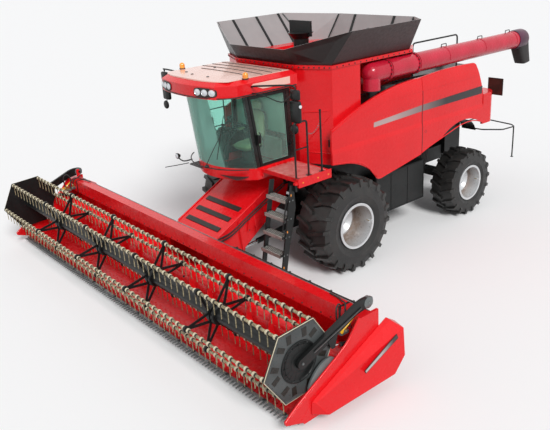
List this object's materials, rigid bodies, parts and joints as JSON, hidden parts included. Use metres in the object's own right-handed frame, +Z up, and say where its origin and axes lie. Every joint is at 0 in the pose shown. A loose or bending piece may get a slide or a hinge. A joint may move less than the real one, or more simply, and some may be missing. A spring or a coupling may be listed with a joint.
{
  "type": "combine harvester",
  "caption": "Combine harvester with a wide grain header and tined reel, cab, open grain tank, swing-out unloading auger, four wheels and steered rear axle.",
  "frame": {"origin": "on the ground, below the middle of the whole machine's box, which lies on its centre plane", "axes": "+X to the machine's left, +Y to its rear, +Z up"},
  "size_m": [9.6, 10.6411, 4.5395],
  "materials": {
    "red_paint": "gloss",
    "black_paint": "satin",
    "grey_steel": "satin",
    "tyre_rubber": "matte",
    "rim_silver": "satin",
    "reel_tines": "satin",
    "tinted_glass": "gloss",
    "lamp_glass": "gloss",
    "amber_lens": "gloss",
    "seat_fabric": "matte",
    "black_rubber": "matte",
    "chrome_rod": "polished"
  },
  "bodies": {
    "machine": {"chassis_frame": "black_paint", "front_axle": "black_paint", "rear_axle": "black_paint", "separator_body": "black_paint", "grain_tank": "red_paint", "tank_extension": "black_paint", "filling_auger": "black_paint", "engine": "black_paint", "engine_deck": "black_paint", "rear_hood": "black_paint", "cab_frame": "red_paint", "cab_glass": "tinted_glass", "cab_roof": "red_paint", "roof_lamps": "lamp_glass", "beacons": "amber_lens", "driver_seat": "seat_fabric", "mirrors": "black_paint", "platform": "red_paint", "handrails": "black_paint", "unload_base": "black_paint", "straw_chopper": "black_paint", "side_shields": "black_paint"},
    "header": {"feeder_house": "red_paint", "header_frame": "red_paint", "dividers": "red_paint", "knife": "grey_steel"},
    "header_auger": {"header_auger": "red_paint"},
    "reel_arms": {"reel_arms": "black_paint"},
    "reel": {"reel_frame": "black_paint"},
    "lift_barrels": {"lift_barrels": "black_paint"},
    "lift_rods": {"lift_rods": "chrome_rod"},
    "reel_barrels": {"reel_barrels": "black_paint"},
    "reel_rods": {"reel_rods": "chrome_rod"},
    "unload_auger": {"unload_tube": "red_paint", "unload_spout": "black_rubber"},
    "cab_door": {"cab_door": "black_paint", "cab_door_glass": "tinted_glass"},
    "ladder": {"ladder": "black_paint"},
    "wheel_front_left": {"tyre_front_left": "tyre_rubber", "rim_front_left": "rim_silver"},
    "wheel_rear_left": {"tyre_rear_left": "tyre_rubber", "rim_rear_left": "rim_silver"},
    "knuckle_left": {"knuckle_left": "black_paint"},
    "panel_front_left": {"side_panel_front_left": "red_paint"},
    "panel_rear_left": {"side_panel_rear_left": "red_paint"},
    "spreader_left": {"spreader_left": "black_paint"},
    "wheel_front_right": {"tyre_front_right": "tyre_rubber", "rim_front_right": "rim_silver"},
    "wheel_rear_right": {"tyre_rear_right": "tyre_rubber", "rim_rear_right": "rim_silver"},
    "knuckle_right": {"knuckle_right": "black_paint"},
    "panel_front_right": {"side_panel_front_right": "red_paint"},
    "panel_rear_right": {"side_panel_rear_right": "red_paint"},
    "spreader_right": {"spreader_right": "black_paint"},
    "reel_bar_1": {"reel_bar_1": "reel_tines"},
    "reel_bar_2": {"reel_bar_2": "reel_tines"},
    "reel_bar_3": {"reel_bar_3": "reel_tines"},
    "reel_bar_4": {"reel_bar_4": "reel_tines"},
    "reel_bar_5": {"reel_bar_5": "reel_tines"},
    "reel_bar_6": {"reel_bar_6": "reel_tines"}
  },
  "joints": [
    {"name": "wheel_front_left_spin", "type": "hinge", "parent": "machine", "child": "wheel_front_left", "pos_m": [1.54, -0.92938, 0.925], "axis": [1, 0, 0], "continuous": true},
    {"name": "steer_left", "type": "hinge", "parent": "machine", "child": "knuckle_left", "pos_m": [1.12, 2.87062, 0.745], "axis": [0, 0, 1], "range_deg": [-30, 30]},
    {"name": "wheel_rear_left_spin", "type": "hinge", "parent": "knuckle_left", "child": "wheel_rear_left", "pos_m": [1.475, 2.87062, 0.745], "axis": [1, 0, 0], "continuous": true},
    {"name": "panel_front_left_lift", "type": "hinge", "parent": "machine", "child": "panel_front_left", "pos_m": [1.52, -0.92938, 3.335], "axis": [0, -1, 0], "range_deg": [0, 65]},
    {"name": "panel_rear_left_lift", "type": "hinge", "parent": "machine", "child": "panel_rear_left", "pos_m": [1.52, 2.07062, 3.375], "axis": [0, -1, 0], "range_deg": [0, 65]},
    {"name": "spreader_left_spin", "type": "hinge", "parent": "machine", "child": "spreader_left", "pos_m": [0.36, 3.97062, 0.86], "axis": [0, 0, 1], "continuous": true},
    {"name": "wheel_front_right_spin", "type": "hinge", "parent": "machine", "child": "wheel_front_right", "pos_m": [-1.54, -0.92938, 0.925], "axis": [1, 0, 0], "continuous": true},
    {"name": "steer_right", "type": "hinge", "parent": "machine", "child": "knuckle_right", "pos_m": [-1.12, 2.87062, 0.745], "axis": [0, 0, 1], "range_deg": [-30, 30]},
    {"name": "wheel_rear_right_spin", "type": "hinge", "parent": "knuckle_right", "child": "wheel_rear_right", "pos_m": [-1.475, 2.87062, 0.745], "axis": [1, 0, 0], "continuous": true},
    {"name": "panel_front_right_lift", "type": "hinge", "parent": "machine", "child": "panel_front_right", "pos_m": [-1.52, -0.92938, 3.335], "axis": [0, 1, 0], "range_deg": [0, 65]},
    {"name": "panel_rear_right_lift", "type": "hinge", "parent": "machine", "child": "panel_rear_right", "pos_m": [-1.52, 2.07062, 3.375], "axis": [0, 1, 0], "range_deg": [0, 65]},
    {"name": "spreader_right_spin", "type": "hinge", "parent": "machine", "child": "spreader_right", "pos_m": [-0.36, 3.97062, 0.86], "axis": [0, 0, -1], "continuous": true},
    {"name": "cab_door_swing", "type": "hinge", "parent": "machine", "child": "cab_door", "pos_m": [0.916, -1.61938, 2.23], "axis": [-0.0444, 0, 0.999], "range_deg": [0, 80]},
    {"name": "ladder_swing", "type": "hinge", "parent": "machine", "child": "ladder", "pos_m": [1.845, -2.35938, 2], "axis": [0, 0, 1], "range_deg": [0, 90]},
    {"name": "unload_swing", "type": "hinge", "parent": "machine", "child": "unload_auger", "pos_m": [1.44, 0.00062, 3.6], "axis": [0, 0, -1], "range_deg": [0, 100]},
    {"name": "feeder_lift", "type": "hinge", "parent": "machine", "child": "header", "pos_m": [0, -1.56938, 1.76], "axis": [-1, 0, 0], "range_deg": [0, 22]},
    {"name": "header_auger_spin", "type": "hinge", "parent": "header", "child": "header_auger", "pos_m": [0, -3.83438, 0.52], "axis": [1, 0, 0], "continuous": true},
    {"name": "reel_lift", "type": "hinge", "parent": "header", "child": "reel_arms", "pos_m": [0, -3.48938, 1.33], "axis": [-1, 0, 0], "range_deg": [0, 20]},
    {"name": "reel_spin", "type": "hinge", "parent": "reel_arms", "child": "reel", "pos_m": [0, -4.71938, 0.94], "axis": [1, 0, 0], "continuous": true},
    {"name": "reel_bar_1_turn", "type": "hinge", "parent": "reel", "child": "reel_bar_1", "pos_m": [0, -5.02438, 1.40966], "axis": [1, 0, 0], "continuous": true},
    {"name": "reel_bar_2_turn", "type": "hinge", "parent": "reel", "child": "reel_bar_2", "pos_m": [0, -5.27862, 0.91069], "axis": [1, 0, 0], "continuous": true},
    {"name": "reel_bar_3_turn", "type": "hinge", "parent": "reel", "child": "reel_bar_3", "pos_m": [0, -4.97362, 0.44104], "axis": [1, 0, 0], "continuous": true},
    {"name": "reel_bar_4_turn", "type": "hinge", "parent": "reel", "child": "reel_bar_4", "pos_m": [0, -4.41439, 0.47034], "axis": [1, 0, 0], "continuous": true},
    {"name": "reel_bar_5_turn", "type": "hinge", "parent": "reel", "child": "reel_bar_5", "pos_m": [0, -4.16015, 0.96931], "axis": [1, 0, 0], "continuous": true},
    {"name": "reel_bar_6_turn", "type": "hinge", "parent": "reel", "child": "reel_bar_6", "pos_m": [0, -4.46515, 1.43896], "axis": [1, 0, 0], "continuous": true},
    {"name": "lift_barrels_swing", "type": "hinge", "parent": "machine", "child": "lift_barrels", "pos_m": [0, -1.25938, 0.69], "axis": [-1, 0, 0], "range_deg": [-1, 17.9]},
    {"name": "lift_rods_slide", "type": "slide", "parent": "lift_barrels", "child": "lift_rods", "axis": [0, -0.9955, -0.0945], "range_m": [-0.002, 0.407]},
    {"name": "reel_barrels_swing", "type": "hinge", "parent": "header", "child": "reel_barrels", "pos_m": [0, -3.62938, 0.78], "axis": [-1, 0, 0], "range_deg": [-1, 17.6]},
    {"name": "reel_rods_slide", "type": "slide", "parent": "reel_barrels", "child": "reel_rods", "axis": [0, -0.9529, 0.3032], "range_m": [-0.002, 0.198]}
  ],
  "couplings": [
    {"joint": "steer_right", "follows": "steer_left", "ratio": 1},
    {"joint": "reel_bar_1_turn", "follows": "reel_spin", "ratio": -1},
    {"joint": "reel_bar_2_turn", "follows": "reel_spin", "ratio": -1},
    {"joint": "reel_bar_3_turn", "follows": "reel_spin", "ratio": -1},
    {"joint": "reel_bar_4_turn", "follows": "reel_spin", "ratio": -1},
    {"joint": "reel_bar_5_turn", "follows": "reel_spin", "ratio": -1},
    {"joint": "reel_bar_6_turn", "follows": "reel_spin", "ratio": -1},
    {"joint": "lift_barrels_swing", "follows": "feeder_lift", "ratio": 0.76909},
    {"joint": "lift_rods_slide", "follows": "feeder_lift", "m_per_rad": 1.0466},
    {"joint": "reel_barrels_swing", "follows": "reel_lift", "ratio": 0.8304},
    {"joint": "reel_rods_slide", "follows": "reel_lift", "m_per_rad": 0.55323}
  ]
}
